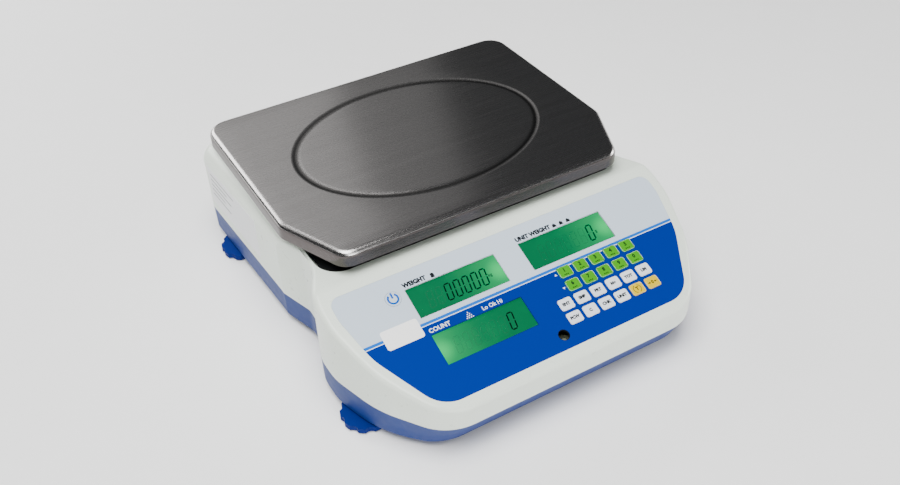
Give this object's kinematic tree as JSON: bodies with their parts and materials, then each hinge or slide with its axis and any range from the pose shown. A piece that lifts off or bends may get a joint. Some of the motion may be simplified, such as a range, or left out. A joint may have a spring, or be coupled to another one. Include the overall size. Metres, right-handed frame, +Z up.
{
  "type": "counting scale",
  "caption": "Bench counting scale: steel pan with clipped front corners over a two-part plastic housing, sloped console with displays and keypad, and screw feet.",
  "frame": {"origin": "on the standing surface, under the middle of the overall box", "axes": "+X to the user's right, +Y away from the user towards the rear wall, +Z up"},
  "size_m": [0.3284, 0.36, 0.116],
  "materials": {
    "cover_plastic": "light grey-green, satin gloss",
    "base_plastic": "mid blue, fine texture",
    "overlay_film": "printed film, silver-grey over blue",
    "display_window": "clear film window",
    "label_white": "plain white label",
    "switch_film": "dome sheet",
    "lcd": "green backlit display",
    "circuit_board": "solder resist green",
    "vial": "bubble level",
    "pan_steel": "brushed along its width",
    "platform_casting": "black",
    "cushion_rubber": "black",
    "cell_aluminium": "anodised",
    "block_casting": "as cast",
    "screw_steel": "zinc plated",
    "insert_brass": "turned",
    "battery_case": "dark grey",
    "strap_steel": "grey",
    "connector_black": "black",
    "connector_metal": "nickel plated shell",
    "key_green": "green with white edge",
    "key_white": "white",
    "key_yellow": "yellow",
    "key_silver": "silver-grey film",
    "foot_plastic": "bright blue",
    "pad_rubber": "black"
  },
  "bodies": {
    "housing": {"top_cover": "cover_plastic", "base_tray": "base_plastic", "front_overlay": "overlay_film", "display_windows": "display_window", "blank_label": "label_white", "side_label": "label_white", "key_switch_sheet": "switch_film", "lcd_weight": "lcd", "lcd_unit_weight": "lcd", "lcd_count": "lcd", "display_board": "circuit_board", "level_vial": "vial", "load_cell": "cell_aluminium", "cell_block": "block_casting", "cell_screws": "screw_steel", "overload_stop": "screw_steel", "foot_inserts": "insert_brass", "main_board": "circuit_board", "board_screws": "screw_steel", "battery": "battery_case", "battery_strap": "strap_steel", "dc_jack": "connector_black", "data_port": "connector_metal", "cover_screws": "screw_steel"},
    "platform": {"pan_support": "platform_casting", "pan_cushions": "cushion_rubber", "hub_screws": "screw_steel"},
    "pan": {"weighing_pan": "pan_steel"},
    "key_1": {"key_1": "key_green"},
    "key_2": {"key_2": "key_green"},
    "key_3": {"key_3": "key_green"},
    "key_4": {"key_4": "key_green"},
    "key_5": {"key_5": "key_green"},
    "key_6": {"key_6": "key_green"},
    "key_7": {"key_7": "key_green"},
    "key_8": {"key_8": "key_green"},
    "key_9": {"key_9": "key_green"},
    "key_0": {"key_0": "key_green"},
    "key_enter": {"key_enter": "key_white"},
    "key_sample": {"key_sample": "key_white"},
    "key_print": {"key_print": "key_white"},
    "key_memory": {"key_memory": "key_white"},
    "key_total": {"key_total": "key_white"},
    "key_limits": {"key_limits": "key_white"},
    "key_piece_weight": {"key_piece_weight": "key_white"},
    "key_clear": {"key_clear": "key_white"},
    "key_check": {"key_check": "key_white"},
    "key_units": {"key_units": "key_white"},
    "key_tare": {"key_tare": "key_yellow"},
    "key_zero": {"key_zero": "key_yellow"},
    "key_power": {"key_power": "key_silver"},
    "foot_pad_front_left": {"foot_pad_front_left": "pad_rubber"},
    "foot_wheel_front_left": {"foot_wheel_front_left": "foot_plastic"},
    "foot_pad_front_right": {"foot_pad_front_right": "pad_rubber"},
    "foot_wheel_front_right": {"foot_wheel_front_right": "foot_plastic"},
    "foot_pad_rear_left": {"foot_pad_rear_left": "pad_rubber"},
    "foot_wheel_rear_left": {"foot_wheel_rear_left": "foot_plastic"},
    "foot_pad_rear_right": {"foot_pad_rear_right": "pad_rubber"},
    "foot_wheel_rear_right": {"foot_wheel_rear_right": "foot_plastic"}
  },
  "joints": [
    {"name": "platform_load", "type": "slide", "parent": "housing", "child": "platform", "axis": [0, 0, 1], "range_m": [-0.0005, 0], "stiffness_N_per_m": 157000, "springref_m": 0.0001, "deforming": ["load_cell"]},
    {"name": "pan_lift", "type": "slide", "parent": "platform", "child": "pan", "axis": [0, 0, 1], "range_m": [0, 0.05]},
    {"name": "key_1_press", "type": "slide", "parent": "housing", "child": "key_1", "axis": [0, 0.3527, -0.9358], "range_m": [0, 0.0004], "stiffness_N_per_m": 4000, "springref_m": -0.0001},
    {"name": "key_2_press", "type": "slide", "parent": "housing", "child": "key_2", "axis": [0, 0.3527, -0.9358], "range_m": [0, 0.0004], "stiffness_N_per_m": 4000, "springref_m": -0.0001},
    {"name": "key_3_press", "type": "slide", "parent": "housing", "child": "key_3", "axis": [0, 0.3527, -0.9358], "range_m": [0, 0.0004], "stiffness_N_per_m": 4000, "springref_m": -0.0001},
    {"name": "key_4_press", "type": "slide", "parent": "housing", "child": "key_4", "axis": [0, 0.3527, -0.9358], "range_m": [0, 0.0004], "stiffness_N_per_m": 4000, "springref_m": -0.0001},
    {"name": "key_5_press", "type": "slide", "parent": "housing", "child": "key_5", "axis": [0, 0.3527, -0.9358], "range_m": [0, 0.0004], "stiffness_N_per_m": 4000, "springref_m": -0.0001},
    {"name": "key_6_press", "type": "slide", "parent": "housing", "child": "key_6", "axis": [0, 0.3527, -0.9358], "range_m": [0, 0.0004], "stiffness_N_per_m": 4000, "springref_m": -0.0001},
    {"name": "key_7_press", "type": "slide", "parent": "housing", "child": "key_7", "axis": [0, 0.3527, -0.9358], "range_m": [0, 0.0004], "stiffness_N_per_m": 4000, "springref_m": -0.0001},
    {"name": "key_8_press", "type": "slide", "parent": "housing", "child": "key_8", "axis": [0, 0.3527, -0.9358], "range_m": [0, 0.0004], "stiffness_N_per_m": 4000, "springref_m": -0.0001},
    {"name": "key_9_press", "type": "slide", "parent": "housing", "child": "key_9", "axis": [0, 0.3527, -0.9358], "range_m": [0, 0.0004], "stiffness_N_per_m": 4000, "springref_m": -0.0001},
    {"name": "key_0_press", "type": "slide", "parent": "housing", "child": "key_0", "axis": [0, 0.3527, -0.9358], "range_m": [0, 0.0004], "stiffness_N_per_m": 4000, "springref_m": -0.0001},
    {"name": "key_enter_press", "type": "slide", "parent": "housing", "child": "key_enter", "axis": [0, 0.3527, -0.9358], "range_m": [0, 0.0004], "stiffness_N_per_m": 4000, "springref_m": -0.0001},
    {"name": "key_sample_press", "type": "slide", "parent": "housing", "child": "key_sample", "axis": [0, 0.3527, -0.9358], "range_m": [0, 0.0004], "stiffness_N_per_m": 4000, "springref_m": -0.0001},
    {"name": "key_print_press", "type": "slide", "parent": "housing", "child": "key_print", "axis": [0, 0.3527, -0.9358], "range_m": [0, 0.0004], "stiffness_N_per_m": 4000, "springref_m": -0.0001},
    {"name": "key_memory_press", "type": "slide", "parent": "housing", "child": "key_memory", "axis": [0, 0.3527, -0.9358], "range_m": [0, 0.0004], "stiffness_N_per_m": 4000, "springref_m": -0.0001},
    {"name": "key_total_press", "type": "slide", "parent": "housing", "child": "key_total", "axis": [0, 0.3527, -0.9358], "range_m": [0, 0.0004], "stiffness_N_per_m": 4000, "springref_m": -0.0001},
    {"name": "key_limits_press", "type": "slide", "parent": "housing", "child": "key_limits", "axis": [0, 0.3527, -0.9358], "range_m": [0, 0.0004], "stiffness_N_per_m": 4000, "springref_m": -0.0001},
    {"name": "key_piece_weight_press", "type": "slide", "parent": "housing", "child": "key_piece_weight", "axis": [0, 0.3527, -0.9358], "range_m": [0, 0.0004], "stiffness_N_per_m": 4000, "springref_m": -0.0001},
    {"name": "key_clear_press", "type": "slide", "parent": "housing", "child": "key_clear", "axis": [0, 0.3527, -0.9358], "range_m": [0, 0.0004], "stiffness_N_per_m": 4000, "springref_m": -0.0001},
    {"name": "key_check_press", "type": "slide", "parent": "housing", "child": "key_check", "axis": [0, 0.3527, -0.9358], "range_m": [0, 0.0004], "stiffness_N_per_m": 4000, "springref_m": -0.0001},
    {"name": "key_units_press", "type": "slide", "parent": "housing", "child": "key_units", "axis": [0, 0.3527, -0.9358], "range_m": [0, 0.0004], "stiffness_N_per_m": 4000, "springref_m": -0.0001},
    {"name": "key_tare_press", "type": "slide", "parent": "housing", "child": "key_tare", "axis": [0, 0.3527, -0.9358], "range_m": [0, 0.0004], "stiffness_N_per_m": 4000, "springref_m": -0.0001},
    {"name": "key_zero_press", "type": "slide", "parent": "housing", "child": "key_zero", "axis": [0, 0.3527, -0.9358], "range_m": [0, 0.0004], "stiffness_N_per_m": 4000, "springref_m": -0.0001},
    {"name": "key_power_press", "type": "slide", "parent": "housing", "child": "key_power", "axis": [0, 0.3527, -0.9358], "range_m": [0, 0.0004], "stiffness_N_per_m": 4000, "springref_m": -0.0001},
    {"name": "foot_height_front_left", "type": "slide", "parent": "housing", "child": "foot_pad_front_left", "axis": [0, 0, -1], "range_m": [-0.0005, 0.006]},
    {"name": "foot_turn_front_left", "type": "hinge", "parent": "foot_pad_front_left", "child": "foot_wheel_front_left", "pos_m": [-0.14, -0.1058, 0.004], "axis": [0, 0, -1], "range_deg": [-144.2, 1728.2]},
    {"name": "foot_height_front_right", "type": "slide", "parent": "housing", "child": "foot_pad_front_right", "axis": [0, 0, -1], "range_m": [-0.0005, 0.006]},
    {"name": "foot_turn_front_right", "type": "hinge", "parent": "foot_pad_front_right", "child": "foot_wheel_front_right", "pos_m": [0.14, -0.1058, 0.004], "axis": [0, 0, -1], "range_deg": [-144.2, 1728.2]},
    {"name": "foot_height_rear_left", "type": "slide", "parent": "housing", "child": "foot_pad_rear_left", "axis": [0, 0, -1], "range_m": [-0.0005, 0.006]},
    {"name": "foot_turn_rear_left", "type": "hinge", "parent": "foot_pad_rear_left", "child": "foot_wheel_rear_left", "pos_m": [-0.1445, 0.133, 0.004], "axis": [0, 0, -1], "range_deg": [-144.2, 1728.2]},
    {"name": "foot_height_rear_right", "type": "slide", "parent": "housing", "child": "foot_pad_rear_right", "axis": [0, 0, -1], "range_m": [-0.0005, 0.006]},
    {"name": "foot_turn_rear_right", "type": "hinge", "parent": "foot_pad_rear_right", "child": "foot_wheel_rear_right", "pos_m": [0.1445, 0.133, 0.004], "axis": [0, 0, -1], "range_deg": [-144.2, 1728.2]}
  ],
  "couplings": [
    {"joint": "foot_turn_front_left", "follows": "foot_height_front_left", "rad_per_m": 5026.5},
    {"joint": "foot_turn_front_right", "follows": "foot_height_front_right", "rad_per_m": 5026.5},
    {"joint": "foot_turn_rear_left", "follows": "foot_height_rear_left", "rad_per_m": 5026.5},
    {"joint": "foot_turn_rear_right", "follows": "foot_height_rear_right", "rad_per_m": 5026.5}
  ]
}
